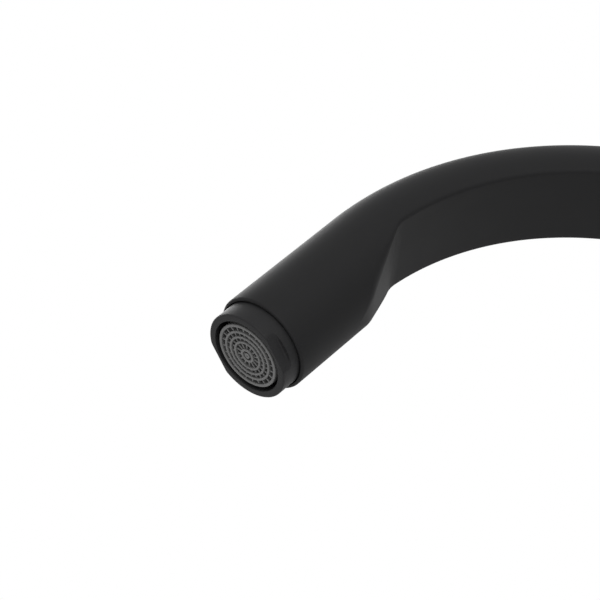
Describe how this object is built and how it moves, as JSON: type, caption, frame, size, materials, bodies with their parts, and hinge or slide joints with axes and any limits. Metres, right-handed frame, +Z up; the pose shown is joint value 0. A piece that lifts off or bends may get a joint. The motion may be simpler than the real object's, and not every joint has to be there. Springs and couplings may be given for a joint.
{
  "type": "kitchen faucet",
  "caption": "Deck-mounted single-lever kitchen faucet in matte black with a swivelling high-arc spout, a flat-cut underside and an aerator.",
  "frame": {"origin": "where the column's axis meets the worktop's upper face", "axes": "+Z up along the column, +X towards the outlet, +Y towards the lever"},
  "size_m": [0.2359, 0.0975, 0.4392],
  "materials": {
    "black_coat": "matte black powder coat on brass",
    "raw_brass": "turned brass",
    "steel": "stainless steel",
    "seal_rubber": "moulded EPDM rubber",
    "slide_plastic": "natural acetal",
    "cartridge_plastic": "moulded glass-filled plastic",
    "ceramic": "lapped alumina ceramic",
    "grey_acetal": "moulded grey acetal"
  },
  "bodies": {
    "mixer": {"base_gasket": "seal_rubber", "base_flange": "black_coat", "mounting_shank": "raw_brass", "deck_washer": "seal_rubber", "clamp_plate": "steel", "clamp_nut": "raw_brass", "clamp_screws": "steel", "mixer_body": "black_coat", "swivel_washer": "grey_acetal", "stop_screw": "steel", "seat_seal": "seal_rubber", "cartridge_base": "cartridge_plastic", "fixed_disc": "ceramic", "cartridge_shell": "cartridge_plastic", "cartridge_nut": "raw_brass", "dome_cover": "black_coat"},
    "spout": {"spout": "black_coat", "spout_collar": "black_coat", "spigot": "raw_brass", "upper_slide_ring": "slide_plastic", "lower_slide_ring": "slide_plastic", "spigot_seals": "seal_rubber", "outlet_nozzle": "black_coat", "outlet_washer": "seal_rubber", "aerator_insert": "grey_acetal", "jet_plate": "grey_acetal", "flow_regulator": "grey_acetal", "inlet_screen": "grey_acetal"},
    "rotor": {"cartridge_rotor": "cartridge_plastic", "stem_pin": "steel"},
    "lever": {"lever_stem": "raw_brass", "lever_hub": "black_coat", "lever_rod": "black_coat", "grub_screw": "steel", "index_plug": "black_coat"},
    "disc": {"moving_disc": "ceramic", "disc_carrier": "cartridge_plastic"}
  },
  "joints": [
    {"name": "spout_swivel", "type": "hinge", "parent": "mixer", "child": "spout", "pos_m": [0, 0, 0.141], "axis": [0, 0, 1], "range_deg": [-75, 75]},
    {"name": "lever_turn", "type": "hinge", "parent": "mixer", "child": "rotor", "pos_m": [0, 0.035, 0.082], "axis": [0, 1, 0], "range_deg": [-45, 45]},
    {"name": "lever_lift", "type": "hinge", "parent": "rotor", "child": "lever", "pos_m": [0, 0.035, 0.082], "axis": [-1, 0, 0], "range_deg": [0, 20]},
    {"name": "disc_slide", "type": "slide", "parent": "rotor", "child": "disc", "axis": [0, 0, 1], "range_m": [0, 0.0038]}
  ],
  "couplings": [
    {"joint": "disc_slide", "follows": "lever_lift", "m_per_rad": 0.01088}
  ]
}
